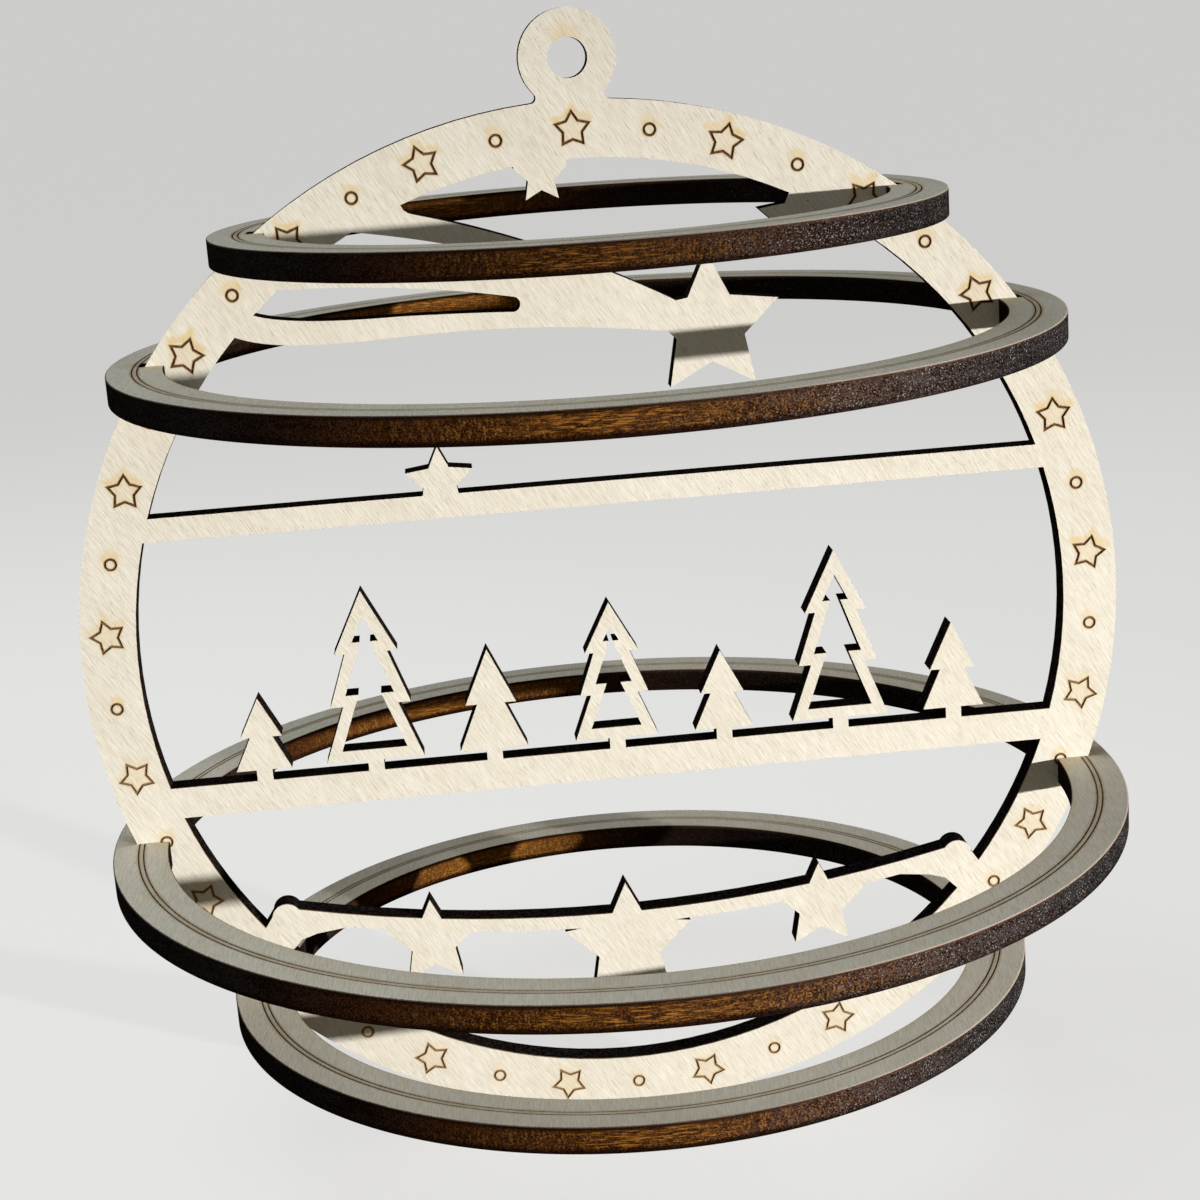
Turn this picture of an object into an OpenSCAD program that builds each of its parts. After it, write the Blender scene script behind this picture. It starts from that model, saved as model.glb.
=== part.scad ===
// Flat-pack wooden Christmas bauble: a round fretwork panel carried through
// four horizontal rings, all cut from one sheet of plywood and slotted
// together. The origin is the centre of the hanging hole, +Z is up and the
// scored front of the panel faces -Y.

/* [Ball] */
// Diameter of the round panel, without its hanging eye
ball_d = 120; // [112:1:130]
// Thickness of the plywood sheet that every piece is cut from
ply_t = 3; // [2.5:0.1:3.6]
// Width of the panel's circular band
band_w = 6.3; // [5.4:0.1:7.5]

/* [Rings] */
// Width of each ring, measured along its radius
ring_w = 6.3; // [5.4:0.1:8]
// Height of ring 1, the top one, from the ball's centre to its mid-plane
ring_1_h = 46.7; // [45:0.1:48.5]
// Height of ring 2 above the ball's centre
ring_2_h = 33.1; // [30:0.1:36]
// Depth of ring 3 below the ball's centre
ring_3_h = 22.2; // [20.5:0.1:25]
// Depth of ring 4, the lowest one, below the ball's centre
ring_4_h = 41; // [38:0.1:44]
// Room in a ring's notch beyond the edge that it slides over
notch_room = 0.7; // [0.4:0.1:1]
// Clearance between a ring's notch and the panel
notch_fit = 0.1; // [0.05:0.05:0.2]

/* [Hanging eye] */
// Distance of the eye's centre outside the ball's rim
eye_rise = 4.5; // [3.5:0.1:5]
// Outer diameter of the eye
eye_d = 10.7; // [10:0.1:13]
// Diameter of the hole for the ribbon
eye_hole_d = 4.4; // [3:0.1:5.5]
// Radius of the fillets between the eye and the band
eye_fillet = 0.6; // [0.3:0.1:1.2]

/* [Bars] */
// Height of the upper bar's mid-line above the ball's centre
upper_bar_h = 16.15; // [13:0.05:19]
// Width of the upper bar
upper_bar_w = 2.7; // [2:0.1:4]
// Depth of the lower bar's mid-line below the ball's centre
lower_bar_h = 16.2; // [13:0.05:18]
// Width of the lower bar
lower_bar_w = 3.65; // [2.5:0.05:5]

/* [Stars] */
// Radius of the comet's star
comet_star_r = 8.25; // [7.5:0.05:9]
// Radius of the small star on the upper bar
bar_star_r = 4; // [3:0.1:5]
// Radius of the small star under the top of the band
top_star_r = 3.1; // [2.6:0.1:3.6]
// Radius of the star at the band's upper right
side_star_r = 4.4; // [3.5:0.1:5]
// Radius of the garland's middle star
middle_star_r = 7.9; // [7:0.1:8.5]
// Radius of the garland's outer stars
outer_star_r = 5.45; // [4.5:0.05:6]
// Inner radius of a cut star as a share of its outer radius
star_waist = 0.49; // [0.44:0.01:0.55]

/* [Garland] */
// Depth of the garland's lowest point below the ball's centre
garland_h = 36.5; // [35:0.1:38]
// Radius of the garland's curve along its lower edge
garland_r = 178.6; // [165:0.2:200]
// Width of the garland's strip
garland_w = 1.6; // [1.2:0.1:2.4]
// Radius of the knobs at the garland's ends
knob_r = 1.7; // [1.4:0.1:2.2]

/* [Trees] */
// Height of the tallest trees on the lower bar
tree_h = 21.5; // [16:0.5:24]
// Width of the trees' cut lines
tree_line = 1.3; // [1:0.05:1.6]

/* [Scored marks] */
// Number of scored stars around the band, with as many small circles between
mark_n = 21; // [15:1:24]
// Radius of a scored star along the middle of its line
mark_star_r = 1.92; // [1.5:0.02:2.2]
// Inner radius of a scored star as a share of its outer radius
mark_waist = 0.57; // [0.5:0.01:0.62]
// Radius of a scored circle along the middle of its line
mark_dot_r = 0.62; // [0.4:0.02:0.9]
// Width of a scored line
score_w = 0.26; // [0.2:0.02:0.4]
// Depth of a scored line
score_depth = 0.16; // [0.1:0.02:0.3]
// Distance between the two scored circles on a ring
score_gap = 0.58; // [0.5:0.02:0.9]

/* [Hidden] */
$fn = 96;

veneer = [0.93, 0.88, 0.78];
ball_r = ball_d / 2;
band_in_r = ball_r - band_w;
mark_r = ball_r - band_w / 2;
eye_h = ball_r + eye_rise;
over = 1;

// Mid-plane heights of the four rings, from the ball's centre.
ring_z = [ring_1_h, ring_2_h, -ring_3_h, -ring_4_h];

// Half-width of the ball's outline at height z.
function outline(z) = sqrt(ball_r * ball_r - z * z);
// A ring's middle radius is the outline at its mid-plane.
function ring_r(i) = outline(ring_z[i]);
// A ring slides over the panel from the nearer pole, so its notches reach
// just past the outline at the ring's face on that side.
function notch_r(i) = outline(abs(ring_z[i]) + ply_t / 2) + notch_room;

// A place on the fretwork drawing, in shares of the ball's radius.
function place(x, y) = [x, y] * ball_r;
// Places at angle a from +X: a hair past the band's inner edge, so that no
// corner lies on that edge itself, and well inside the band's wood.
function on_edge(a) = (band_in_r + 0.05 * over) * [cos(a), sin(a)];
function on_band(a) = (band_in_r + over) * [cos(a), sin(a)];

// Corners of a star with one tip at angle 90.
function star_points(r, waist) =
    [for (k = [0:9]) (k % 2 == 0 ? r : r * waist) * [cos(90 + 36 * k), sin(90 + 36 * k)]];

// Quadratic curve from a to c that leaves and arrives towards b.
function curve(a, b, c, n = 14) =
    [for (k = [0:n]) let (t = k / n)
        (1 - t) * (1 - t) * a + 2 * t * (1 - t) * b + t * t * c];

// Point list in the opposite order.
function backward(p) = [for (k = [len(p) - 1:-1:0]) p[k]];

// ---- Band, eye and bars ----

module disc(r) {
    circle(r = r, $fn = 180);
}

module band() {
    difference() {
        disc(ball_r);
        disc(band_in_r);
    }
}

// The fillet circle touches the eye's rim and the ball's rim, so its centre
// is the corner of a triangle whose three sides are known.
module eye() {
    a = eye_d / 2 + eye_fillet;
    b = ball_r + eye_fillet;
    y = (b * b - a * a + eye_h * eye_h) / (2 * eye_h);
    x = sqrt(b * b - y * y);
    eye_touch = [x, y - eye_h] * (eye_d / 2 / a) + [0, eye_h];
    rim_touch = [x, y] * ball_r / b;
    translate([0, eye_h])
        circle(d = eye_d);
    for (side = [0, 1])
        mirror([side, 0])
            difference() {
                polygon([[0, band_in_r + over], rim_touch, [x, y], eye_touch, [0, eye_h]]);
                translate([x, y])
                    circle(r = eye_fillet);
            }
}

module bar(h, w) {
    intersection() {
        translate([-ball_r, h - w / 2])
            square([ball_d, w]);
        disc(band_in_r + over);
    }
}

module star(at, r) {
    translate(at)
        polygon(star_points(r, star_waist));
}

// The star under the top of the band is joined to it along both arms.
module top_star() {
    at = [-0.0635 * ball_r, band_in_r - 0.53 * top_star_r];
    arm = top_star_r * [cos(18), sin(18)];
    star(at, top_star_r);
    translate(at - [arm[0], -arm[1]])
        square([2 * arm[0], 0.6 * top_star_r]);
}

// ---- Comet with three tails rooted in the band ----

comet_at = place(0.2325, 0.57);

module comet() {
    window_tip = [on_band(111.2), on_edge(111.2), place(-0.3185, 0.8245), place(-0.31, 0.8185)];
    top_edge = curve(place(-0.302, 0.816), place(-0.06, 0.752), comet_at + comet_star_r * [-0.4, 0.35]);
    low_left = curve(on_edge(136.4), place(-0.575, 0.583), place(-0.367, 0.593));
    low_right = curve(place(-0.367, 0.593), place(-0.1, 0.606), comet_at + comet_star_r * [-0.55, -0.04]);
    root = [on_band(136.4), on_band(130), on_band(124), on_band(118)];
    difference() {
        polygon(backward(concat(
            window_tip, top_edge, [comet_at], backward(low_right), backward(low_left), root)));
        tail_slot(
            concat([on_band(117.8)], curve(on_edge(117.8), place(-0.258, 0.767), place(-0.113, 0.719))),
            concat([on_band(124.6)], curve(on_edge(124.6), place(-0.3, 0.732), place(-0.113, 0.691))));
        tail_slot(
            concat([on_band(128.9)], curve(on_edge(128.9), place(-0.333, 0.694), place(-0.133, 0.6525))),
            concat([on_band(133)], curve(on_edge(133), place(-0.545, 0.63), place(-0.342, 0.632)),
                curve(place(-0.342, 0.632), place(-0.2, 0.6285), place(-0.133, 0.624))));
    }
    star(comet_at, comet_star_r);
}

// Slot between two tails: it opens at the band, follows a curve along each
// tail and closes in a round end between the curves' last points.
module tail_slot(upper, lower) {
    a = upper[len(upper) - 1];
    b = lower[len(lower) - 1];
    polygon(concat(lower, backward(upper)));
    translate((a + b) / 2)
        circle(d = norm(a - b));
}

// ---- Garland with knobs and three hanging stars ----

knob_in = 2.7;
garland_top = garland_r - garland_h;

// Height of the garland's lower edge at x.
function garland_y(x) = garland_top - sqrt(garland_r * garland_r - x * x);

// The knob's centre lies low on the strip's end, knob_in inside the band.
knob_at = let (
    b = band_in_r - knob_in,
    m = garland_r - garland_w / 4,
    y = (b * b - m * m + garland_top * garland_top) / (2 * garland_top))
    [sqrt(b * b - y * y), y];
knob_a = atan2(knob_at[1], knob_at[0]);

module garland() {
    intersection() {
        translate([0, garland_top])
            difference() {
                circle(r = garland_r, $fn = 720);
                circle(r = garland_r - garland_w, $fn = 720);
            }
        translate([-knob_at[0], -ball_r])
            square([2 * knob_at[0], ball_r]);
    }
    hung_star(0, middle_star_r, 0.33);
    for (side = [0, 1])
        mirror([side, 0]) {
            garland_end();
            outer_star();
        }
}

// Knob at the strip's end and the foot that ties it to the band.
module garland_end() {
    strip_x = knob_at[0] - 7;
    translate(knob_at)
        circle(r = knob_r);
    polygon([
        knob_at,
        [strip_x, garland_y(strip_x) + garland_w / 2],
        [strip_x, garland_y(strip_x)],
        knob_at + [-3.4, -2.3],
        knob_at + [-1.5, -2.9],
        on_edge(knob_a - 3.7),
        on_band(knob_a - 3.7),
        on_band(knob_a + 0.8),
        on_edge(knob_a + 0.8),
        knob_at + knob_r * [cos(60), sin(60)]]);
}

// Star whose centre hangs a share of its radius below the strip.
module hung_star(x, r, drop) {
    star([x, garland_y(x) - drop * r], r);
}

// The outer stars' far arms are joined to the strip along their length.
module outer_star() {
    x = 0.3875 * ball_r;
    y = garland_y(x) - 0.27 * outer_star_r;
    arm = [x, y] + outer_star_r * [cos(18), sin(18)];
    star([x, y], outer_star_r);
    polygon([[x, y], arm, [arm[0], garland_y(arm[0]) + garland_w / 2], [x, garland_y(x) + garland_w / 2]]);
}

// ---- Fir trees on the lower bar ----

// Each tree's place along the bar and its height, as shares.
trees = [[-0.68, 0.46], [-0.465, 1], [-0.235, 0.62], [0.005, 0.82], [0.215, 0.5], [0.445, 1], [0.67, 0.54]];

// Right half of a fir tree's outline from its foot to its tip, as shares of
// its half width and its height.
tall_fir = [[1, 0], [0.56, 0.33], [0.82, 0.33], [0.43, 0.64], [0.64, 0.64], [0, 1]];
small_fir = [[1, 0], [0.4, 0.46], [0.74, 0.46], [0, 1]];

// Moves every side of a closed outline outwards by d: each corner slides along
// the half-angle line between its two sides. The points run anticlockwise.
function grown(p, d) =
    [for (k = [0:len(p) - 1]) let (
        n = len(p),
        a = p[k] - p[(k + n - 1) % n],
        b = p[(k + 1) % n] - p[k],
        na = [a[1], -a[0]] / norm(a),
        nb = [b[1], -b[0]] / norm(b))
        p[k] + (na + nb) * d / (1 + na * nb)];

// A tall fir is cut as an open line and a small one is left whole.
module tree(size) {
    tall = size > 0.7;
    trunk = tree_line;
    h = size * tree_h - trunk;
    half_w = (0.2 + 0.08 / size) * h;
    right = [for (p = tall ? tall_fir : small_fir) [p[0] * half_w, trunk + p[1] * h]];
    left = [for (k = [len(right) - 2:-1:0]) [-right[k][0], right[k][1]]];
    fir = concat(right, left);
    difference() {
        polygon(fir);
        if (tall)
            polygon(grown(fir, -tree_line));
    }
    translate([-tree_line * 0.7, -over])
        square([tree_line * 1.4, trunk + over + tree_line / 2]);
}

module tree_row() {
    for (t = trees)
        translate([t[0] * ball_r, -lower_bar_h + lower_bar_w / 2])
            tree(t[1]);
}

// ---- Scored marks ----

// Thin star line: every side of the star lies side_r from its centre, so the
// line's two edges are the star drawn out and in by half the line's width.
module score_star() {
    leg = mark_star_r * sqrt(1 + mark_waist * mark_waist - 2 * mark_waist * cos(36));
    side_r = mark_star_r * mark_star_r * mark_waist * sin(36) / leg;
    difference() {
        polygon(star_points(mark_star_r * (1 + score_w / 2 / side_r), mark_waist));
        polygon(star_points(mark_star_r * (1 - score_w / 2 / side_r), mark_waist));
    }
}

module score_circle(r) {
    difference() {
        circle(r = r + score_w / 2);
        circle(r = r - score_w / 2);
    }
}

module band_marks() {
    for (k = [0:mark_n - 1]) {
        rotate(-360 / mark_n * k)
            translate([0, mark_r])
                score_star();
        rotate(-360 / mark_n * (k + 0.5))
            translate([0, mark_r])
                score_circle(mark_dot_r, $fn = 24);
    }
}

// ---- Joints between the rings and the panel ----

// Steps cut into the panel's edge: a ring's face rests on each step.
module ring_steps() {
    for (i = [0:3])
        for (side = [0, 1])
            mirror([side, 0])
                translate([notch_r(i) - notch_fit, ring_z[i] - ply_t / 2])
                    square([ball_r, ply_t]);
}

// Notches in a ring that let it slide over the panel.
module ring_notches(i) {
    cut_w = ply_t + 2 * notch_fit;
    for (side = [0, 1])
        mirror([side, 0, 0])
            translate([0, -cut_w / 2, -ply_t])
                cube([notch_r(i), cut_w, 2 * ply_t]);
}

// ---- Sub-parts ----

module panel_face() {
    difference() {
        union() {
            band();
            eye();
            bar(upper_bar_h, upper_bar_w);
            bar(-lower_bar_h, lower_bar_w);
            comet();
            garland();
            tree_row();
            star([-0.296 * ball_r, upper_bar_h + upper_bar_w / 2 + 0.375 * bar_star_r], bar_star_r);
            top_star();
            star((band_in_r - 0.51 * side_star_r) * [cos(61.8), sin(61.8)], side_star_r);
        }
        ring_steps();
    }
}

module panel() {
    color(veneer)
        translate([0, 0, -eye_h])
            rotate([90, 0, 0])
                difference() {
                    translate([0, 0, -ply_t / 2])
                        linear_extrude(ply_t)
                            panel_face();
                    translate([0, 0, ply_t / 2 - score_depth])
                        linear_extrude(score_depth + over)
                            band_marks();
                    translate([0, eye_h, -ply_t])
                        cylinder(d = eye_hole_d, h = 2 * ply_t);
                }
}

module ring(i) {
    color(veneer)
        translate([0, 0, ring_z[i] - eye_h])
            difference() {
                translate([0, 0, -ply_t / 2])
                    cylinder(r = ring_r(i) + ring_w / 2, h = ply_t, $fn = 180);
                translate([0, 0, -ply_t])
                    cylinder(r = ring_r(i) - ring_w / 2, h = 2 * ply_t, $fn = 180);
                ring_notches(i);
                for (side = [-1, 1])
                    translate([0, 0, ply_t / 2 - score_depth])
                        linear_extrude(score_depth + over)
                            score_circle(ring_r(i) + side * score_gap / 2, $fn = 180);
            }
}

module ring_1() {
    ring(0);
}

module ring_2() {
    ring(1);
}

module ring_3() {
    ring(2);
}

module ring_4() {
    ring(3);
}

panel();
ring_1();
ring_2();
ring_3();
ring_4();
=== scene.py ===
"""Looks of a slot-together plywood bauble: bare veneer faces, laser-charred cut
walls, scored marks with their scorch, four rings as smooth swept surfaces, and
the stage they stand on. All lengths are in metres, in the part's own frame."""
import math
import bpy
import numpy as np
from bpy.props import FloatProperty, FloatVectorProperty, IntProperty, PointerProperty
from mathutils import Matrix, Vector


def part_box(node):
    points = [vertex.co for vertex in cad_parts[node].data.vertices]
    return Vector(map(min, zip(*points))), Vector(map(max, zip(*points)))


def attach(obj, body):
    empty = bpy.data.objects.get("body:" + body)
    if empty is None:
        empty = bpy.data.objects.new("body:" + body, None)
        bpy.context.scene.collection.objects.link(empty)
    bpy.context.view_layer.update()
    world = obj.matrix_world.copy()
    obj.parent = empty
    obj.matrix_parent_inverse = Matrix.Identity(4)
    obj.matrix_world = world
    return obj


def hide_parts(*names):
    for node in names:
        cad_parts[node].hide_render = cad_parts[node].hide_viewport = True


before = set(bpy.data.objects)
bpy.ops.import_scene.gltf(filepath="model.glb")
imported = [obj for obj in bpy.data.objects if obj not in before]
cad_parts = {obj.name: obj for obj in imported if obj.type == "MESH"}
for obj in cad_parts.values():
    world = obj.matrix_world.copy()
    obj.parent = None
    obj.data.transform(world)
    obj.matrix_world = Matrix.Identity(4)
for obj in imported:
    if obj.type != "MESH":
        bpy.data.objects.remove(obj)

bl_info = {
    "name": "Plywood bauble",
    "version": (1, 0, 0),
    "blender": (4, 5, 0),
    "location": "View3D > Sidebar > Bauble",
    "description": "Dresses a slot-together plywood bauble and sets its stage",
    "category": "Object",
}

MM = 0.001
RINGS = ("ring_1", "ring_2", "ring_3", "ring_4")
PANEL_LOW, PANEL_HIGH = (Vector(corner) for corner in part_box("panel"))
BALL_R = round((PANEL_HIGH.x - PANEL_LOW.x) / 2, 5)
BALL_Z = PANEL_LOW.z + BALL_R
PLY = PANEL_HIGH.y - PANEL_LOW.y
FRONT = -PLY / 2
TOP_RING_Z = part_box("ring_1")[0][2]

# Noise cells of the veneer: length along the grain and width across it.
FIBRE = (2.2 * MM, 0.12 * MM)
STREAK = (6.5 * MM, 0.36 * MM)
PORE = (1.2 * MM, 0.12 * MM)
DRIFT = (26 * MM, 7 * MM)

# Noise cells of a ring's cut wall: width round the ring and height up the wall.
GRIT = (0.20 * MM, 0.17 * MM)
PULSE = (0.27 * MM, 0.90 * MM)
STRAND = (1.5 * MM, 0.16 * MM)
CLUMP = (5.0 * MM, 1.0 * MM)
SPECK = (0.19 * MM, 0.17 * MM)

# Noise that is alike in every direction: cells to the metre.
SMOKE = 900.0
CLOUD = 170.0
BLOTCH = 240.0
BEAD = 3400.0
SOOT = 2600.0

# How finely a ring's surface is divided, and the angle from which an edge stays sharp.
ROUND_STEPS = 576
CORNER_STEPS = 4
GROOVE_STEPS = 9
OUTER_WALL_STEPS = 9
INNER_WALL_STEPS = 7
NOTCH_SIDE_STEPS = 7
NOTCH_END_STEPS = 5
SHARP = math.radians(48)


# ---- Settings ----


def length(name, text, value):
    """A length property in metres."""
    return FloatProperty(name=name, description=text, default=value, unit="LENGTH", precision=5)


def fraction(name, text, value, low=0.0, high=1.0):
    """A property that holds a share of a whole."""
    return FloatProperty(name=name, description=text, default=value, subtype="FACTOR", min=low, max=high)


def amount(name, text, value):
    """A property that holds a strength of light without a unit."""
    return FloatProperty(name=name, description=text, default=value, min=0)


def turn(name, text, degrees):
    """An angle property, given in degrees."""
    return FloatProperty(name=name, description=text, default=math.radians(degrees), subtype="ANGLE")


def power(name, text, value):
    """A power property in watts."""
    return FloatProperty(name=name, description=text, default=value, unit="POWER")


def place(name, text, value):
    """A property that holds a place in metres."""
    return FloatVectorProperty(name=name, description=text, default=value, subtype="TRANSLATION", size=3)


def direction(name, text, value):
    """A property that holds a direction."""
    return FloatVectorProperty(name=name, description=text, default=value, subtype="DIRECTION", size=3)


def colour(name, text, value):
    """A colour property, in linear values."""
    return FloatVectorProperty(
        name=name, description=text, default=value, subtype="COLOR", size=3, min=0, max=1
    )


class BAUBLE_PG_joinery(bpy.types.PropertyGroup):
    """Sizes of the rings and of what is scored on the pieces."""

    ring_width: length("Ring width", "Width of each ring along its radius", 6.3 * MM)
    notch_room: length("Notch room", "How far a notch reaches past the edge it slides over", 0.7 * MM)
    notch_fit: length("Notch fit", "Clearance on each side of the panel in a notch", 0.1 * MM)
    eased: length("Eased edge", "Width of the soft corner that the beam leaves", 0.12 * MM)
    score_width: length("Scored line width", "Width of a scored line", 0.26 * MM)
    score_depth: length("Scored line depth", "Depth of a scored line", 0.15 * MM)
    score_gap: length("Scored circle gap", "Distance between a ring's two scored circles", 0.58 * MM)
    mark_radius: length("Mark circle", "Radius of the circle of marks on the panel", BALL_R - 3.15 * MM)
    mark_star: length("Star", "Radius of a scored star's tips", 1.92 * MM)
    mark_waist: fraction("Star waist", "Inner radius of a star as a share of its tips'", 0.57, 0.3, 0.8)
    mark_dot: length("Dot", "Radius of a scored dot", 0.62 * MM)
    mark_count: IntProperty(
        name="Marks", description="Stars and dots round the band, taken together", default=42
    )


class BAUBLE_PG_finish(bpy.types.PropertyGroup):
    """Colours and grain of the plywood."""

    veneer: colour("Veneer", "Bare veneer", (0.807, 0.770, 0.677))
    veneer_shade: colour("Late wood", "Darker fibres in the veneer", (0.612, 0.560, 0.447))
    pore: colour("Pores", "Short fine cracks along the grain", (0.40, 0.345, 0.255))
    scorch: colour("Scorch", "Yellow stain of smoke on the veneer", (0.70, 0.520, 0.230))
    singe: colour("Singe", "Brown edge of a scored line on the panel", (0.33, 0.165, 0.060))
    singe_pale: colour("Pale singe", "Brown tint beside a ring's scored line", (0.42, 0.315, 0.175))
    score: colour("Scored line", "Burnt floor of a scored line", (0.075, 0.034, 0.012))
    score_worn: colour("Worn scored line", "Lighter beads in a scored line", (0.28, 0.178, 0.084))
    char_amber: colour("Amber char", "Char on fibres that run along the wall", (0.34, 0.140, 0.026))
    char_red: colour("Red char", "Char left of the amber", (0.055, 0.018, 0.005))
    # Brown char with a painted sheen from the key, used on the right.
    char_brown_sheen: colour("Brown char", "Char right of the amber", (0.077, 0.050, 0.041))
    char_dark: colour("Dark char", "Char on end grain", (0.031, 0.0290, 0.0288))
    char_black: colour("Soot", "Deepest char", (0.0055, 0.0025, 0.0015))
    # Pale specks of ash, also painted glints where the key lights the wall.
    ash_glint: colour("Ash", "Pale specks on end grain", (0.32, 0.305, 0.30))
    lip: colour("Lip", "Reddish char under the top edge", (0.14, 0.072, 0.042))
    # Painted highlight on the eased corner on the right, where the key falls.
    rim_highlight: colour("Rim", "Pale corner between a face and a wall", (0.64, 0.50, 0.41))
    panel_grain: turn("Panel grain", "Direction of the panel's grain from +X", -58)
    ring_grain: turn("Ring grain", "Direction of the rings' grain from +X", 86)
    core_turn: turn("Core turn", "Where the core's fibres run along a wall, right of the front", -2)
    inner_turn: turn("Inner turn", "How much further round they do so on an inner wall", 24)
    panel_pores: fraction("Panel pores", "How dark the pores are on the panel", 0.42)
    ring_pores: fraction("Ring pores", "How dark the pores are on the rings", 0.40)
    roughness: fraction("Roughness", "Roughness of the bare veneer", 0.78)
    panel_relief: length("Panel relief", "Height of the panel's grain and char", 0.022 * MM)
    ring_relief: length("Ring relief", "Height of the rings' grain and char", 0.024 * MM)


class BAUBLE_PG_stage(bpy.types.PropertyGroup):
    """Light, floor and camera."""

    key_at: place("Key light", "Place of the low key light", (0.9535, -0.9031, -0.0054))
    key_aim: place("Key aim", "Where the key points", (-0.03, 0, PANEL_LOW.z - 10 * MM))
    key_power: power("Key power", "Power of the key light", 111.5)
    key_cone: turn("Key cone", "Full angle of the key's cone, which is soft from its middle out", 21)
    key_radius: length("Key radius", "Radius of the key, which sets how soft its shadows are", 13 * MM)
    key_colour: colour("Key colour", "Colour of the key light", (1.0, 0.98, 0.955))
    top_at: place("Top light", "Place of the large soft light overhead", (-0.5, -0.05, 0.72))
    top_power: power("Top power", "Power of the light overhead", 3.85)
    top_size: length("Top size", "Width of the light overhead", 1.0)
    top_colour: colour("Top colour", "Colour of the light overhead", (0.875, 0.955, 1.0))
    back_at: place("Back light", "Where the light from behind comes from", (-0.1, 1.0, BALL_Z))
    back_power: amount("Back strength", "Strength of the level light from behind", 2.7)
    back_spread: turn("Back spread", "Angle that the light from behind fills", 12)
    ambient: amount("Ambient", "Level of the even light from all round", 0.085)
    ambient_colour: colour("Ambient colour", "Colour of the even light", (1.0, 0.93, 0.82))
    floor: colour("Floor", "Pale tone of the floor and the surroundings", (0.86, 0.855, 0.845))
    floor_glow: amount("Floor glow", "Level that the eye sees on the unlit floor", 0.705)
    floor_reach: length("Floor reach", "How far the floor goes from the middle", 9.0)
    sky_glow: amount("Surroundings", "Level that the eye sees above the floor's end", 0.711)
    paper_near: colour("Paper", "What lit floor adds near the bauble", (0.36, 0.358, 0.354))
    paper_far: colour("Far paper", "What lit floor adds far off", (0.05, 0.05, 0.049))
    paper_bounce: colour("Bounce", "Floor's colour as the bauble sees it", (0.26, 0.21, 0.15))
    fade_from: length("Fade from", "Distance at which the floor's colour begins to fade", 0.20)
    fade_to: length("Fade to", "Distance at which it has faded", 0.70)
    camera_at: place("Camera", "Place of the camera", (-0.0177, -0.2567, 0.0041))
    camera_along: direction("View direction", "Where the camera looks", (0.0648, 0.9671, -0.2462))
    camera_up: direction("View up", "Direction that is up in the picture", (0.0871, 0.2403, 0.9668))
    lens: length("Focal length", "Focal length of the camera on a sensor 36 mm wide", 68.8 * MM)


# ---- Shader nodes ----


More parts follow.
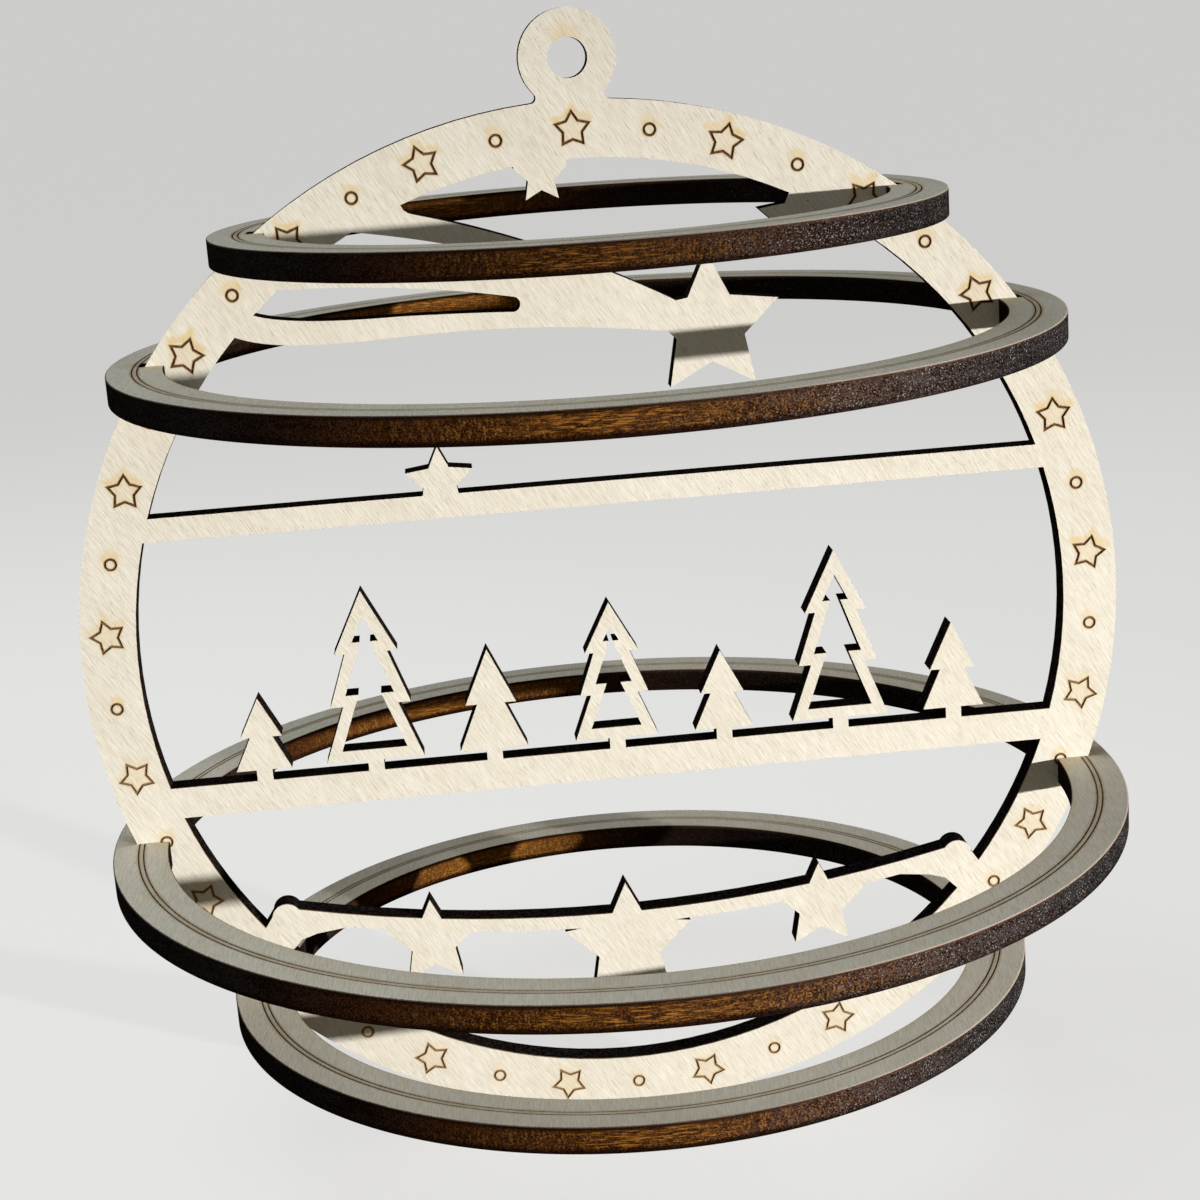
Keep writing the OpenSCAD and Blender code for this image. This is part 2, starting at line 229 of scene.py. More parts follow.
class Web:
    """Puts nodes into a node tree and links them. Inputs are sockets or plain
    values, and what a method returns are output sockets."""

    def __init__(self, tree):
        self.tree = tree
        self.tree.nodes.clear()

    def add(self, kind, inputs=(), out=0, **settings):
        """Adds a node, sets its settings, and fills the inputs given as (name or number, value)."""
        node = self.tree.nodes.new(kind)
        for key, value in settings.items():
            setattr(node, key, value)
        for key, value in inputs:
            socket = node.inputs[key]
            if isinstance(value, bpy.types.NodeSocket):
                self.tree.links.new(value, socket)
            elif socket.type == "RGBA" and len(value) == 3:
                socket.default_value = (*value, 1)
            else:
                socket.default_value = value
        return node.outputs[out]

    def calc(self, operation, a, b=0.0, c=0.0, clamp=False):
        """One Math node."""
        inputs = ((0, a), (1, b), (2, c))
        return self.add("ShaderNodeMath", inputs, operation=operation, use_clamp=clamp)

    def chain(self, operation, terms, clamp=False):
        """Math nodes that join the terms from left to right. Only the last is ever clamped."""
        total, *between, last = terms
        for term in between:
            total = self.calc(operation, total, term)
        return self.calc(operation, total, last, clamp=clamp)

    def plus(self, *terms, clamp=False):
        """Sum of the terms."""
        return self.chain("ADD", terms, clamp)

    def times(self, *terms, clamp=False):
        """Product of the terms."""
        return self.chain("MULTIPLY", terms, clamp)

    def most(self, *terms):
        """Greatest of the terms."""
        return self.chain("MAXIMUM", terms)

    def minus(self, a, b):
        """First value less the second."""
        return self.calc("SUBTRACT", a, b)

    def rest(self, part):
        """What is left of 1."""
        return self.minus(1.0, part)

    def size(self, value):
        """The value without its sign."""
        return self.calc("ABSOLUTE", value)

    def swing(self, noise, reach, middle=0.5):
        """Noise less its middle, times a reach, so that it swings about nothing."""
        return self.times(self.minus(noise, middle), reach)

    def distance(self, a, b):
        """Root of the sum of both squares."""
        return self.calc("SQRT", self.plus(self.calc("POWER", a, 2.0), self.calc("POWER", b, 2.0)))

    def band(self, value, start, end, low=0.0, high=1.0):
        """Smooth step from low at start to high at end."""
        return self.add(
            "ShaderNodeMapRange",
            (("Value", value), ("From Min", start), ("From Max", end), ("To Min", low), ("To Max", high)),
            interpolation_type="SMOOTHSTEP",
        )

    def blend(self, share, a, b):
        """Mixes two colours."""
        inputs = ((0, share), (6, a), (7, b))
        return self.add("ShaderNodeMix", inputs, out=2, data_type="RGBA", blend_type="MIX")

    def noise(self, at, scale, detail, rough, warp=0.0):
        """Value noise, about 0.5."""
        inputs = (
            ("Vector", at), ("Scale", scale), ("Detail", detail), ("Roughness", rough), ("Distortion", warp)
        )
        return self.add("ShaderNodeTexNoise", inputs)

    def here(self):
        """Place on the object, in its own coordinates."""
        return self.add("ShaderNodeTexCoord", out=3)

    def mark(self, name):
        """The mark of that name, which the mesh carries."""
        return self.add("ShaderNodeAttribute", out=2, attribute_name=name)

    def split(self, vector):
        """The three parts of a vector."""
        node = self.tree.nodes.new("ShaderNodeSeparateXYZ")
        self.tree.links.new(vector, node.inputs[0])
        return node.outputs[0], node.outputs[1], node.outputs[2]

    def join(self, x, y, z):
        """A vector from three parts."""
        return self.add("ShaderNodeCombineXYZ", ((0, x), (1, y), (2, z)))

    def seen(self):
        """1 where the eye sees a place, also by reflection or through something, and else 0."""
        path = self.add("ShaderNodeLightPath").node
        rays = ("Is Camera Ray", "Is Glossy Ray", "Is Transmission Ray")
        return self.most(*(path.outputs[name] for name in rays))

    def matt(self, base, roughness, height, relief):
        """Closes the tree with a shader that has no gloss and a bump of that relief in metres."""
        bump = self.add("ShaderNodeBump", (("Strength", 1.0), ("Distance", relief), ("Height", height)))
        self.close(self.add(
            "ShaderNodeBsdfPrincipled",
            (("Base Color", base), ("Roughness", roughness), ("Normal", bump), ("Specular IOR Level", 0.0)),
        ))

    def close(self, shader, kind="ShaderNodeOutputMaterial"):
        """Links a shader to the output."""
        output = self.tree.nodes.new(kind)
        self.tree.links.new(shader, output.inputs[0])


def new_material(name):
    """A new material, and the web for its nodes."""
    material = bpy.data.materials.new(name)
    material.use_nodes = True
    return material, Web(material.node_tree)


# ---- Materials ----


def veneer(web, x, y, angle, layer, pores, finish):
    """Bare veneer with its grain at that angle from x: fine fibres, short pores
    and a slow drift of tone. Takes places in metres, the number of the sheet,
    which is its depth in the noise, and how dark the pores are. Returns the
    colour and a height."""
    c, s = math.cos(angle), math.sin(angle)
    along = web.plus(web.times(x, c), web.times(y, s))
    across = web.minus(web.times(y, c), web.times(x, s))

    def drawn(cell, depth, detail, warp):
        """Noise in cells of that length along the grain and that width across it."""
        long, wide = cell
        spot = web.join(web.calc("DIVIDE", along, long), web.calc("DIVIDE", across, wide), depth)
        return web.noise(spot, 1.0, detail, 0.55, warp)

    fibre = drawn(FIBRE, layer, 3.0, 0.25)
    streak = drawn(STREAK, web.plus(layer, 11.0), 3.0, 0.4)
    pore = web.band(drawn(PORE, web.plus(layer, 23.0), 1.0, 0.2), 0.60, 0.74)
    drift = drawn(DRIFT, web.plus(layer, 37.0), 2.0, 0.2)
    tone = web.plus(
        web.band(fibre, 0.38, 0.64, 0.0, 0.62),
        web.band(streak, 0.36, 0.66, 0.0, 0.17),
        web.band(drift, 0.38, 0.66, 0.0, 0.14),
        clamp=True,
    )
    shade = web.blend(tone, finish.veneer, finish.veneer_shade)
    shade = web.blend(web.times(pore, pores), shade, finish.pore)
    height = web.minus(web.times(fibre, 1.2), web.times(pore, 0.7))
    return shade, height


def mark_outline(web, radial, tangent, star, joinery):
    """Signed distance from the middle of a mark's line, less than nothing inside.
    For a star, the angle is folded into a tenth of a turn, and the distance is
    that from the straight line between a tip and its waist. For a dot, it is
    the distance from the middle less the radius."""
    tip, waist = joinery.mark_star, joinery.mark_star * joinery.mark_waist
    past_tip = 0.12 * MM
    tenth = math.pi / 5
    foot = (waist * math.cos(tenth), waist * math.sin(tenth))
    leg = math.hypot(tip - foot[0], foot[1])
    normal = (foot[1] / leg, (tip - foot[0]) / leg)
    near = web.distance(radial, tangent)
    angle = web.calc("PINGPONG", web.size(web.calc("ARCTAN2", tangent, radial)), tenth)
    px = web.times(near, web.calc("COSINE", angle))
    py = web.times(near, web.calc("SINE", angle))
    side = web.plus(web.times(px, normal[0]), web.times(py, normal[1]))
    side = web.minus(side, normal[0] * tip)
    side = web.most(side, web.minus(near, tip + past_tip))
    dot = web.minus(near, joinery.mark_dot)
    return web.plus(web.times(side, star), web.times(dot, web.rest(star)))


def mark_smoke(web, x, up, cloud, wisp, joinery):
    """Smoke round the nearest mark: how hot the mark was burnt, the distance
    from its line and the strength of the stain. The mark is found by rounding
    the angle round the ball to a whole mark, and smoke drifts upwards from it."""
    step = 2 * math.pi / joinery.mark_count
    number = web.calc("ROUND", web.calc("DIVIDE", web.calc("ARCTAN2", x, up), step))
    angle = web.times(number, step)
    sine, cosine = web.calc("SINE", angle), web.calc("COSINE", angle)
    star = web.rest(web.calc("PINGPONG", number, 1.0))
    dx = web.minus(x, web.times(sine, joinery.mark_radius))
    dz = web.minus(up, web.times(cosine, joinery.mark_radius))

    def from_line(down):
        """Distance from the mark's line, of the place that lies that far below."""
        low = web.minus(dz, down)
        radial = web.plus(web.times(dx, sine), web.times(low, cosine))
        tangent = web.minus(web.times(dx, cosine), web.times(low, sine))
        return mark_outline(web, radial, tangent, star, joinery)

    heat = web.add("ShaderNodeTexWhiteNoise", (("W", number),), noise_dimensions="1D")
    heat = web.times(web.plus(web.times(heat, 0.40), 0.60), web.band(up, -50 * MM, 50 * MM, 0.35, 1.0))
    line = from_line(0.0)
    inside = web.times(
        web.band(line, -0.7 * MM, -0.1 * MM, 0.24, 0.40), web.band(line, -0.1 * MM, 0.1 * MM, 1.0, 0.0)
    )
    drift = web.plus(web.size(from_line(0.55 * MM)), web.times(wisp, 1.1 * MM))
    above = web.times(
        web.band(drift, 0.0, 0.75 * MM, 0.84, 0.0),
        web.band(line, -0.25 * MM, 0.1 * MM),
        web.band(dz, -0.9 * MM, 0.6 * MM),
    )
    patchy = web.times(web.band(cloud, 0.36, 0.60, 0.60, 1.0), web.band(heat, 0.1, 0.8, 0.2, 1.0))
    glow = web.band(web.size(line), 0.10 * MM, 0.55 * MM, 0.34, 0.0)
    return heat, line, web.most(web.times(above, patchy), web.most(inside, glow))


def hole_smoke(web, x, z, wisp):
    """Smoke over the top of the hanging hole."""
    over_hole = 1.9 * MM
    hole = web.plus(web.distance(x, web.minus(z, over_hole)), web.times(wisp, 2.0 * MM))
    return web.band(hole, 0.6 * MM, 2.6 * MM, 0.42, 0.0)


def panel_material(joinery, finish):
    """Material of the upright panel, worked out from places on the panel alone."""
    material, web = new_material("panel_plywood")
    at = web.here()
    x, y, z = web.split(at)
    up = web.minus(z, BALL_Z)
    wood, height = veneer(web, x, up, finish.panel_grain, 0.0, finish.panel_pores, finish)

    # Front face: yellow smoke round the marks and the hole, then a brown fringe.
    cloud = web.noise(at, CLOUD, 2.0, 0.5, 0.4)
    wisp = web.minus(web.plus(web.noise(at, SMOKE, 2.0, 0.5, 0.4), cloud), 1.0)
    front = web.band(y, FRONT - 0.02 * MM, FRONT + 0.3 * MM, 1.0, 0.0)
    heat, line, stain = mark_smoke(web, x, up, cloud, wisp, joinery)
    stain = web.most(web.times(stain, front), hole_smoke(web, x, z, wisp))
    wood = web.blend(stain, wood, finish.scorch)
    fringe = web.size(web.plus(line, web.times(wisp, 0.12 * MM)))
    fringe = web.times(
        web.band(fringe, 0.10 * MM, 0.27 * MM, 0.75, 0.0), front, web.band(heat, 0.1, 0.8, 0.45, 1.0)
    )
    wood = web.blend(fringe, wood, finish.singe)

    # Cut walls: char, told apart from the faces by the surface's direction.
    facing = web.split(web.add("ShaderNodeNewGeometry", out=3))[1]
    wall = web.band(web.size(facing), 0.3, 0.8, 1.0, 0.0)
    soot = web.noise(at, SOOT, 3.0, 0.6)
    char = web.blend(web.band(soot, 0.40, 0.75), finish.char_black, finish.char_dark)
    base = web.blend(wall, wood, char)

    # Scored lines: burnt where the front lies deeper than the face, paler where cool.
    groove = web.times(
        web.band(y, FRONT + 0.004 * MM, FRONT + 0.02 * MM),
        web.band(y, FRONT + 0.2 * MM, FRONT + 0.3 * MM, 1.0, 0.0),
    )
    worn = web.plus(
        web.band(soot, 0.3, 0.75, 0.0, 0.5), web.band(heat, 0.2, 0.7, 0.75, 0.0), clamp=True
    )
    base = web.blend(groove, base, web.blend(worn, finish.score, finish.score_worn))
    height = web.plus(web.times(height, web.rest(wall)), web.times(wall, web.times(soot, 2.0)))
    rough = web.minus(finish.roughness, web.times(wall, 0.15))
    web.matt(base, rough, height, finish.panel_relief)
    return material


def ring_face(web, spot, inner, right, blotch, beads, finish):
    """Colour and height of a ring's faces: smoke from the notches and the inner
    edge, a singed outer edge that is painted pale on the right as a highlight,
    and the two scored circles, beaded by the beam's pulses. Blotches make the
    smoke and the edges uneven."""
    x, y, z = spot
    layer = web.calc("ROUND", web.times(z, 1 / MM))
    wood, height = veneer(web, x, y, finish.ring_grain, layer, finish.ring_pores, finish)
    notch = web.minus(web.size(y), web.swing(blotch, 9 * MM))
    haze = web.times(
        web.band(notch, 1.5 * MM, 8 * MM, 0.46, 0.0), web.band(inner, 0.0, 4.5 * MM, 1.0, 0.0)
    )
    brink = web.band(inner, 0.0, web.times(blotch, 2.4 * MM), 0.20, 0.0)
    wood = web.blend(web.most(haze, brink), wood, finish.scorch)
    fringe = web.plus(web.mark("score"), web.swing(blotch, 0.5 * MM))
    wood = web.blend(web.band(fringe, 0.10 * MM, 0.42 * MM, 0.52, 0.0), wood, finish.singe_pale)
    edge = web.minus(web.mark("edge"), web.swing(beads, 0.16 * MM, 0.4))
    # Painted highlight: the eased corner is pale on the right, where the key lights it, and a dark burnt
    # line elsewhere.
    corner = web.blend(right, finish.score, finish.rim_highlight)
    wood = web.blend(web.band(edge, 0.05 * MM, 0.15 * MM, 0.9, 0.0), wood, corner)
    worn = web.blend(web.band(beads, 0.40, 0.66), finish.score, finish.score_worn)
    return web.blend(web.mark("groove"), wood, worn), height


def wall_noise(web):
    """Noise on a ring's map: grit, the beam's pulses, strands, clumps and specks.
    Each has its own depth in the noise, so that no two are alike."""
    u, v, _ = web.split(web.add("ShaderNodeUVMap", uv_map="round"))

    def mapped(cell, depth, detail, warp=0.0):
        """Noise in cells of that width round the ring and that height up the wall."""
        wide, tall = cell
        spot = web.join(web.calc("DIVIDE", u, wide), web.calc("DIVIDE", v, tall), depth)
        return web.noise(spot, 1.0, detail, 0.6, warp)

    grit = mapped(GRIT, 0.3, 2.0)
    pulse = mapped(PULSE, 4.3, 2.0)
    strand = mapped(STRAND, 8.3, 3.0, 0.5)
    clump = mapped(CLUMP, 12.3, 2.0)
    specks = mapped(SPECK, 16.3, 1.0)
    return grit, pulse, strand, clump, specks


def wall_turn(web, x, y, within, finish):
    """Angle on a wall from where the core's fibres run along it, folded into a
    quarter turn. On an inner wall they do so further round."""
    turned = web.minus(web.calc("ARCTAN2", x, web.times(y, -1.0)), finish.core_turn)
    turned = web.minus(turned, web.times(within, finish.inner_turn))
    return web.calc("ARCSINE", web.size(web.calc("SINE", turned)))


def wall_gold(web, away, amber, core, within, grit, pulse, strand):
    """How golden the core's char is: streaks where its fibres run along the wall,
    and grains in the beam's pulses beside them."""
    long_grain = web.band(away, 0.06, 0.24, 1.0, 0.0)
    grains = web.times(web.band(pulse, 0.42, 0.66, 0.12, 1.0), web.band(grit, 0.44, 0.66, 0.15, 0.90))
    streaks = web.plus(web.band(strand, 0.49, 0.66, 0.04, 0.85), web.band(grit, 0.5, 0.75, 0.0, 0.25))
    gold = web.plus(web.times(grains, web.rest(long_grain)), web.times(streaks, long_grain))
    return web.times(web.plus(gold, web.times(within, 0.16)), amber, core, clamp=True)


def wall_soot_and_shade(web, x, z, away, core, shaded_inner):
    """How black a wall is made: soot on the outer plies, painted shade on the
    inner wall on the right and on the left, and darker on the top ring."""
    plies = web.times(web.rest(core), web.band(away, 0.3, 0.8, 0.75, 0.35))
    # Painted shade on the inner wall on the right.
    inside = web.times(shaded_inner, web.band(away, 0.15, 0.5, 0.35, 0.85))
    # Darker on the top ring.
    top_ring = web.band(z, TOP_RING_Z - 6 * MM, TOP_RING_Z - 3 * MM, 0.0, 0.40)
    # Painted shade on the left, where the key does not reach.
    left = web.times(web.band(x, -14 * MM, -4 * MM, 0.55, 0.0), web.band(away, 0.70, 1.05))
    return web.most(web.most(plies, inside), web.most(top_ring, left))


def wall_ash_glints(web, away, ply, right, shaded_inner, specks, blotch):
    """How many pale specks lie on a wall, ash that also stands in for painted
    glints: on end grain, gathered in blotches, most on the right, where the key
    lights it, and hardly any on the inner wall in painted shade."""
    return web.times(
        web.band(specks, 0.60, 0.73),
        web.band(blotch, 0.35, 0.62, 0.42, 0.88),
        web.band(away, 0.15, 0.40),
        web.most(right, 0.12),
        web.band(ply, 0.0, 0.2),
        web.rest(web.times(shaded_inner, 0.85)),
    )


def ring_wall(web, spot, inner, wall, right, blotch, finish):
    """Colour, roughness and height of a ring's cut walls. Golden streaks lie
    where the core's fibres run along the wall, grains of amber beside them, and
    dark end grain with ash where the fibres meet it. The right side gets a
    painted sheen and painted glints, and the left and the inner wall on the
    right get painted shade."""
    x, y, z = spot
    grit, pulse, strand, clump, specks = wall_noise(web)
    within = web.band(inner, 0.2 * MM, 1.2 * MM, 1.0, 0.0)
    # Painted shade: the inner wall on the right, where the key does not reach, gets darker char and fewer
    # specks.
    shaded_inner = web.times(within, web.band(x, -12 * MM, 12 * MM))
    away = web.plus(wall_turn(web, x, y, within, finish), web.swing(clump, 0.30))
    amber = web.band(away, 0.10, 0.60, 1.0, 0.0)
    ply = web.plus(web.mark("rise"), web.swing(grit, 0.20))
    core = web.times(web.band(ply, 0.10, 0.30), web.band(ply, 0.80, 0.97, 1.0, 0.0))

    # Painted sheen: the char beside the amber is greyer brown on the right, where the key falls, and redder
    # on the left.
    beside = web.blend(right, finish.char_red, finish.char_brown_sheen)
    beside = web.blend(web.band(away, 0.42, 0.95), beside, finish.char_dark)
    burnt = web.plus(grit, web.swing(clump, 0.35))
    char = web.blend(web.band(burnt, 0.34, 0.66), finish.char_black, beside)
    gold = wall_gold(web, away, amber, core, within, grit, pulse, strand)
    char = web.blend(gold, char, finish.char_amber)
    # Soot, with painted shade on the left and on the inner wall on the right.
    char = web.blend(wall_soot_and_shade(web, x, z, away, core, shaded_inner), char, finish.char_black)
    # Ash specks, also painted glints, most on the right.
    char = web.blend(wall_ash_glints(web, away, ply, right, shaded_inner, specks, blotch), char, finish.ash_glint)
    lip = web.times(web.band(ply, 0.84, 0.97), web.band(away, 0.5, 1.1, 0.42, 0.10), right)
    char = web.blend(lip, char, finish.lip)

    glint = web.times(wall, web.rest(amber))
    rough = web.minus(finish.roughness, web.times(glint, web.band(grit, 0.45, 0.70, 0.15, 0.45)))
    height = web.plus(web.times(grit, 2.6), web.times(pulse, 1.2), web.times(strand, 1.2))
    return char, rough, height


def ring_material(finish):
    """Material of the rings. The faces read places on the ring, and the walls
    read the ring's own map, which runs round it and across its section."""
    material, web = new_material("ring_plywood")
    at = web.here()
    spot = web.split(at)
    inner, wall = web.mark("inner"), web.mark("wall")
    # The right side, where the key falls: painted sheen, glints and a pale corner highlight go there.
    right = web.band(spot[0], -8 * MM, 30 * MM)
    blotch = web.noise(at, BLOTCH, 3.0, 0.6)
    beads = web.noise(at, BEAD, 1.0, 0.5)
    wood, face_height = ring_face(web, spot, inner, right, blotch, beads, finish)
    char, rough, wall_height = ring_wall(web, spot, inner, wall, right, blotch, finish)
    height = web.plus(web.times(face_height, web.rest(wall)), web.times(wall, wall_height))
    web.matt(web.blend(wall, wood, char), rough, height, finish.ring_relief)
    return material


# ---- Surfaces ----


def inner_edge(angle, inner, half_notch, notch_end):
    """Radius of a ring's inner edge at each angle. It is the inner radius,
    except in a notch, where it is half_notch over |sin| along the notch's sides
    and notch_end over |cos| along its end, whichever is less."""
    side = half_notch / np.maximum(np.abs(np.sin(angle)), 1e-9)
    end = notch_end / np.maximum(np.abs(np.cos(angle)), 1e-9)
    return np.maximum(inner, np.minimum(side, end))


def ring_section(inner, outer, low, high, mid, joinery):
    """Section of a ring, anticlockwise from the inner bottom corner: radius,
    height, how much of it is cut wall, and how deep it lies in a scored line.
    Corners are quarter circles of the eased width, and a scored line is half a
    cosine wave across its width."""
    eased = joinery.eased
    corner = np.linspace(0, math.pi / 2, CORNER_STEPS)
    grow, shrink = eased * (1 - np.cos(corner)), eased * (1 - np.sin(corner))
    reach = np.array([0.04, 0.12, 0.3, 0.7, 1.5]) * MM
    parts = []

    def run(radius, height, wall, groove):
        """Adds a stretch of the section."""
        radius = np.asarray(radius, float)
        parts.append(np.stack(np.broadcast_arrays(radius, height, wall, groove), 1))

    # Bottom face with its two corners, then the outer wall.
    run(inner + grow, low + shrink, [1, 1, 0.5, 0], 0)
    run(np.r_[inner + eased + reach, mid, outer - eased - reach[::-1]], low, 0, 0)
    run(outer - shrink, low + grow, [0, 0.5, 1, 1], 0)
    run(outer, np.linspace(low + 1.5 * eased, high - 1.5 * eased, OUTER_WALL_STEPS), 1, 0)

    # Top face with its two corners and scored lines, then the inner wall.
    run(outer - grow, high - shrink, [1, 0.35, 0, 0], 0)
    run(outer - eased - reach, high, 0, 0)
    across = np.r_[1.3, 1.12, np.linspace(1, -1, GROOVE_STEPS), -1.12, -1.3]
    depth = 0.5 + 0.5 * np.cos(math.pi * np.clip(across, -1, 1))
    for side in (1, -1):
        run(mid + side * joinery.score_gap / 2 + across * joinery.score_width / 2,
            high - joinery.score_depth * depth, 0, np.clip(depth * 2.5, 0, 1))
    run(inner + eased + reach[::-1], high, 0, 0)
    run(inner + shrink, high - grow, [0, 0.5, 1, 1], 0)
    run(inner, np.linspace(high - 1.5 * eased, low + 1.5 * eased, INNER_WALL_STEPS), 1, 0)
    return np.concatenate(parts)


def ring_angles(inner, half_notch, notch_end):
    """Angles round a ring: even steps outside the notches, and closer ones that
    meet the corners of both. They start at the back, where the map's seam lies."""
    side, end = math.asin(half_notch / inner), math.atan2(half_notch, notch_end)
    along_side = np.linspace(end, side, NOTCH_SIDE_STEPS)
    notch = np.r_[along_side, np.linspace(-end, end, NOTCH_END_STEPS)[1:-1], -along_side]
    even = np.linspace(0, 2 * math.pi, ROUND_STEPS, endpoint=False)
    near = np.minimum(np.abs(even - math.pi), np.minimum(even, 2 * math.pi - even))
    angle = np.r_[even[near > side * 1.02], notch % (2 * math.pi), notch + math.pi]
    return np.sort((angle - math.pi / 2) % (2 * math.pi)) + math.pi / 2


def ring_surface(inner, outer, low, high, half_notch, notch_end, joinery):
    """A ring as a function of the angle round it and the place along its
    section: the section's radius, or the inner edge's where that is greater,
    turned about the Z axis. Returns points, faces, the map and the marks that
    the material reads."""
    mid = (inner + outer) / 2
    section = ring_section(inner, outer, low, high, mid, joinery)
    angle = ring_angles(inner, half_notch, notch_end)
    edge = inner_edge(angle, inner, half_notch, notch_end)[:, None]
    r, z, wall, groove = (section[:, k][None, :] for k in range(4))

    # Inside a notch, what would lie over it is drawn back to its edge, in order.
    spacing = 0.06 * MM
    order = np.minimum(section[:, 0] - inner, spacing)
    radius = np.maximum(r, edge + order[None, :])
    kept = r >= edge + order[None, :] - 1e-9
    flat = np.where((groove > 0) & ~kept, high, z)
    points = np.stack([radius * np.cos(angle)[:, None], radius * np.sin(angle)[:, None],
                       np.broadcast_to(flat, radius.shape)], 2)

    n, m = radius.shape
    i, j = np.meshgrid(np.arange(n), np.arange(m), indexing="ij")
    i2, j2 = (i + 1) % n, (j + 1) % m
    faces = np.stack([i * m + j, i2 * m + j, i2 * m + j2, i * m + j2], 2).reshape(-1, 4)
    run = np.r_[0, np.cumsum(np.hypot(np.diff(section[:, 0]), np.diff(section[:, 1])))]
    run = np.r_[run, run[-1] + joinery.eased]
    arc = np.r_[angle, angle[0] + 2 * math.pi] * mid
    corners = np.stack([arc[i], arc[i + 1], arc[i + 1], arc[i]], 2)
    heights = np.stack([run[j], run[j], run[j + 1], run[j + 1]], 2)
    uv = np.stack([corners, heights], 3).reshape(-1, 2)
    marks = {
        "wall": np.broadcast_to(wall, radius.shape),
        "groove": np.where(kept, groove, 0.0),
        "edge": np.minimum(radius - edge, outer - radius),
        "inner": radius - edge,
        "score": np.abs(np.abs(radius - mid) - joinery.score_gap / 2),
        "rise": np.broadcast_to((z - low) / (high - low), radius.shape),
    }
    return points.reshape(-1, 3), faces, uv, marks


def make_piece(name, points, faces, uv, marks):
    """Puts a surface into a new mesh object at the origin, smooth but for its corners."""
    mesh = bpy.data.meshes.new(name)
    mesh.vertices.add(len(points))
    mesh.vertices.foreach_set("co", points.astype(np.float32).ravel())
    mesh.loops.add(faces.size)
    mesh.loops.foreach_set("vertex_index", faces.astype(np.int32).ravel())
    mesh.polygons.add(len(faces))
    mesh.polygons.foreach_set("loop_start", np.arange(0, faces.size, faces.shape[1], dtype=np.int32))
    mesh.update(calc_edges=True)
    mesh.uv_layers.new(name="round").data.foreach_set("uv", uv.astype(np.float32).ravel())
    for key, values in marks.items():
        layer = mesh.attributes.new(key, "FLOAT", "POINT")
        layer.data.foreach_set("value", np.ascontiguousarray(values, dtype=np.float32).ravel())
    mesh.polygons.foreach_set("use_smooth", np.ones(len(faces), dtype=bool))
    mesh.set_sharp_from_angle(angle=SHARP)
    mesh.validate()
    piece = bpy.data.objects.new(name, mesh)
    bpy.context.scene.collection.objects.link(piece)
    return piece


# ---- Operators ----


class BAUBLE_OT_dress_panel(bpy.types.Operator):
    """Gives the panel its veneer, scored marks, scorch and charred walls"""

    bl_idname = "bauble.dress_panel"
    bl_label = "Dress the panel"

    def execute(self, context):
        scene = context.scene
        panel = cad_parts["panel"]
        material = panel_material(scene.bauble_joinery, scene.bauble_finish)
        if not panel.material_slots:
            panel.data.materials.append(material)
        for slot in panel.material_slots:
            slot.material = material
        return {"FINISHED"}


class BAUBLE_OT_make_rings(bpy.types.Operator):
    """Makes the four rings as smooth surfaces in place of the plain ones"""

    bl_idname = "bauble.make_rings"
    bl_label = "Make the rings"

    def execute(self, context):
        joinery = context.scene.bauble_joinery
        material = ring_material(context.scene.bauble_finish)
        for node in RINGS:
            low, high = (Vector(corner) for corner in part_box(node))
            middle = (low.z + high.z) / 2 - BALL_Z
            outer = math.sqrt(BALL_R ** 2 - middle ** 2) + joinery.ring_width / 2
            if abs(outer - high.x) > 0.1 * MM:
                raise RuntimeError(f"{node} is {high.x:.5f} m in radius, and {outer:.5f} was expected")
            notch_end = math.sqrt(BALL_R ** 2 - (abs(middle) + PLY / 2) ** 2) + joinery.notch_room
            surface = ring_surface(outer - joinery.ring_width, outer, low.z, high.z,
                                   PLY / 2 + joinery.notch_fit, notch_end, joinery)
            piece = make_piece(node + "_veneer", *surface)
            piece.data.materials.append(material)
            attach(piece, "root")
            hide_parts(node)
        return {"FINISHED"}


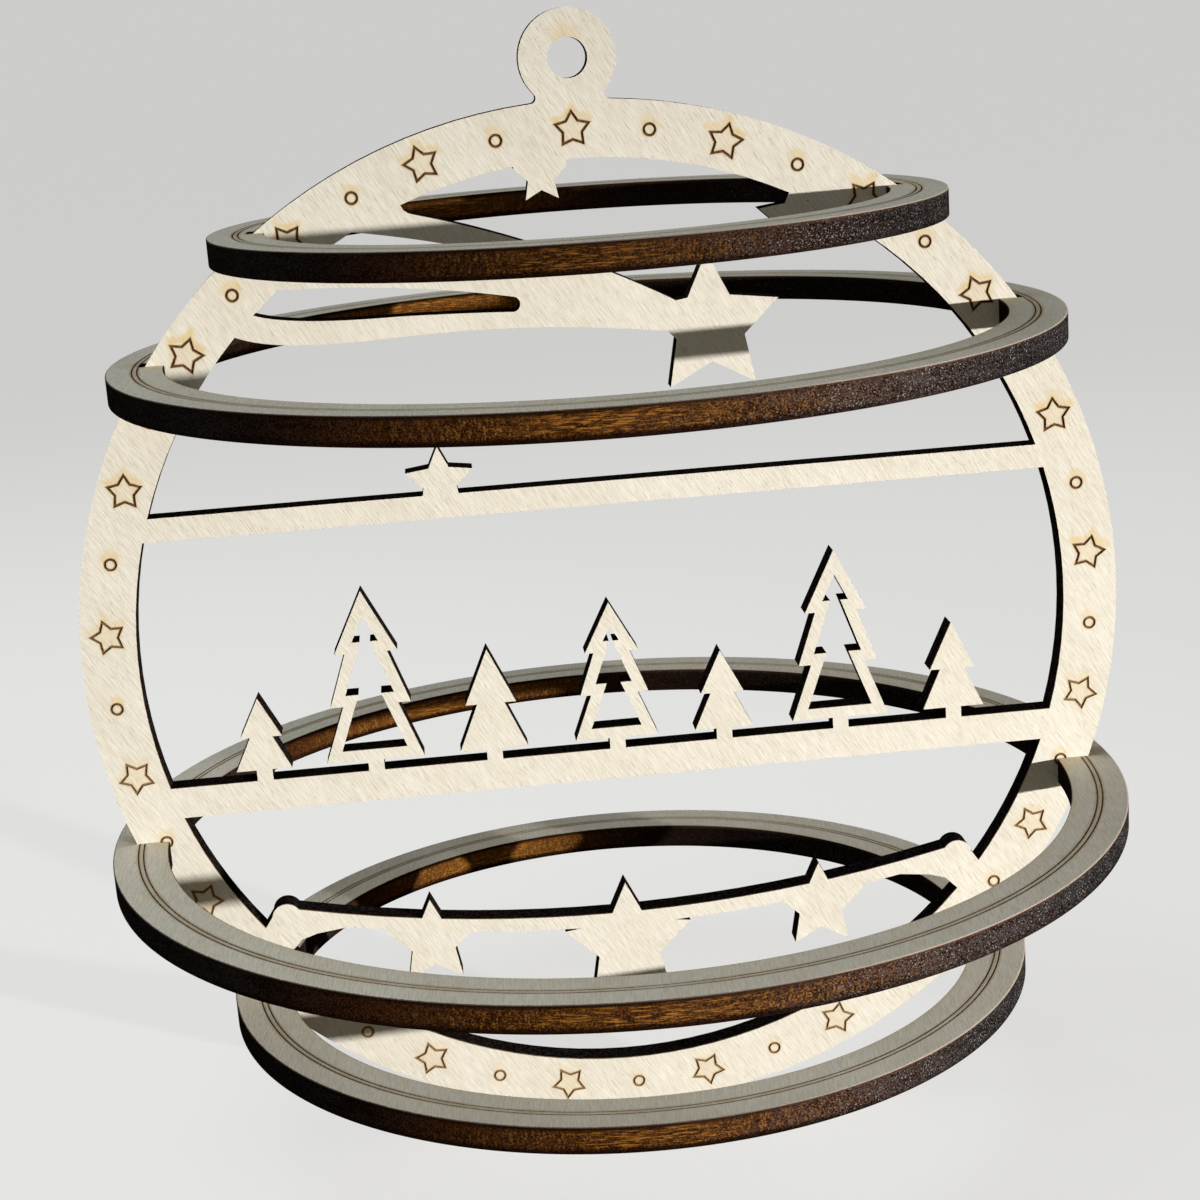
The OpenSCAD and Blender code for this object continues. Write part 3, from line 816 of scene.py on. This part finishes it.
class BAUBLE_OT_build_stage(bpy.types.Operator):
    """Sets the pale floor, the lights, the surroundings and the camera"""

    bl_idname = "bauble.build_stage"
    bl_label = "Build the stage"

    def execute(self, context):
        scene = context.scene
        stage = scene.bauble_stage
        self.floor(scene, stage)
        self.lights(scene, stage)
        self.surroundings(scene, stage)
        self.camera(scene, stage)
        scene.view_settings.view_transform = "Standard"
        return {"FINISHED"}

    def floor(self, scene, stage):
        """A flat square sheet of paper, on which the panel's lowest point stands.
        Its colour fades with the distance from the middle, so that the key's
        foot leaves no bright patch on it."""
        reach, low = stage.floor_reach, PANEL_LOW.z
        mesh = bpy.data.meshes.new("floor")
        corners = [(-reach, -reach, low), (reach, -reach, low), (reach, reach, low), (-reach, reach, low)]
        mesh.from_pydata(corners, [], [(0, 1, 2, 3)])
        sheet = bpy.data.objects.new("floor", mesh)
        scene.collection.objects.link(sheet)
        material, web = new_material("floor_paper")
        x, y, _ = web.split(web.here())
        fade = web.band(web.distance(x, y), stage.fade_from, stage.fade_to)
        seen = web.seen()
        paper = web.blend(fade, stage.paper_near, stage.paper_far)
        paper = web.blend(seen, stage.paper_bounce, paper)
        lit = web.add("ShaderNodeBsdfDiffuse", (("Color", paper),))
        strength = web.times(seen, stage.floor_glow)
        glow = web.add("ShaderNodeEmission", (("Color", stage.floor), ("Strength", strength)))
        web.close(web.add("ShaderNodeAddShader", ((0, lit), (1, glow))))
        mesh.materials.append(material)

    def lights(self, scene, stage):
        """A small warm key low at the front right, a wide cool light overhead,
        and a level light from behind that only the back sees."""
        key = bpy.data.lights.new("key", "SPOT")
        key.energy = stage.key_power
        key.shadow_soft_size = stage.key_radius
        key.spot_size = stage.key_cone
        key.spot_blend = 1.0
        key.color = stage.key_colour
        self.hang(scene, key, stage.key_at, stage.key_aim)
        top = bpy.data.lights.new("top", "AREA")
        top.shape = "DISK"
        top.size = stage.top_size
        top.energy = stage.top_power
        top.color = stage.top_colour
        self.hang(scene, top, stage.top_at, (0, 0, BALL_Z))
        back = bpy.data.lights.new("back", "SUN")
        back.energy = stage.back_power
        back.angle = stage.back_spread
        self.hang(scene, back, stage.back_at, (0, 0, BALL_Z))

    def hang(self, scene, light, spot, target):
        """Puts a light at a spot and turns it to a target."""
        lamp = bpy.data.objects.new(light.name, light)
        lamp.location = spot
        lamp.rotation_euler = (Vector(target) - Vector(spot)).to_track_quat("-Z", "Y").to_euler()
        scene.collection.objects.link(lamp)

    def surroundings(self, scene, stage):
        """An even warm level on the object, which the eye sees as the floor's own tone."""
        world = bpy.data.worlds.new("surroundings")
        scene.world = world
        world.use_nodes = True
        web = Web(world.node_tree)
        seen = web.seen()
        tone = web.blend(seen, stage.ambient_colour, stage.floor)
        level = web.plus(stage.ambient, web.times(seen, stage.sky_glow - stage.ambient))
        sky = web.add("ShaderNodeBackground", (("Color", tone), ("Strength", level)))
        web.close(sky, "ShaderNodeOutputWorld")

    def camera(self, scene, stage):
        """A camera that looks along a direction with a given up."""
        data = bpy.data.cameras.new("camera")
        data.sensor_fit = "HORIZONTAL"
        data.sensor_width = 36
        data.lens = stage.lens / MM
        data.clip_start = 10 * MM
        data.dof.use_dof = False
        ahead = Vector(stage.camera_along).normalized()
        right = ahead.cross(Vector(stage.camera_up)).normalized()
        turned = Matrix((right, right.cross(ahead), -ahead)).transposed()
        eye = bpy.data.objects.new("camera", data)
        eye.matrix_world = Matrix.Translation(stage.camera_at) @ turned.to_4x4()
        scene.collection.objects.link(eye)
        scene.camera = eye


class BAUBLE_PT_sidebar(bpy.types.Panel):
    """Sidebar panel with the bauble's settings and steps"""

    bl_label = "Plywood bauble"
    bl_idname = "BAUBLE_PT_sidebar"
    bl_space_type = "VIEW_3D"
    bl_region_type = "UI"
    bl_category = "Bauble"

    def draw(self, context):
        for group, title in SETTINGS:
            box = self.layout.box()
            box.label(text=title)
            settings = getattr(context.scene, group)
            for name in settings.__annotations__:
                box.prop(settings, name)
        for step in STEPS:
            self.layout.operator(step.bl_idname)


SETTINGS = (("bauble_joinery", "Joinery"), ("bauble_finish", "Finish"), ("bauble_stage", "Stage"))
STEPS = (BAUBLE_OT_dress_panel, BAUBLE_OT_make_rings, BAUBLE_OT_build_stage)
GROUPS = (BAUBLE_PG_joinery, BAUBLE_PG_finish, BAUBLE_PG_stage)
CLASSES = (*GROUPS, *STEPS, BAUBLE_PT_sidebar)


def register():
    """Registers the classes and hangs the settings on the scene."""
    for item in CLASSES:
        bpy.utils.register_class(item)
    for (name, _), group in zip(SETTINGS, GROUPS):
        setattr(bpy.types.Scene, name, PointerProperty(type=group))


def unregister():
    """Takes back what register does."""
    for name, _ in SETTINGS:
        delattr(bpy.types.Scene, name)
    for item in reversed(CLASSES):
        bpy.utils.unregister_class(item)


def main():
    """Runs the steps in order."""
    register()
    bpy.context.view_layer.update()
    bpy.ops.bauble.dress_panel()
    bpy.ops.bauble.make_rings()
    bpy.ops.bauble.build_stage()


if __name__ == "__main__":
    main()
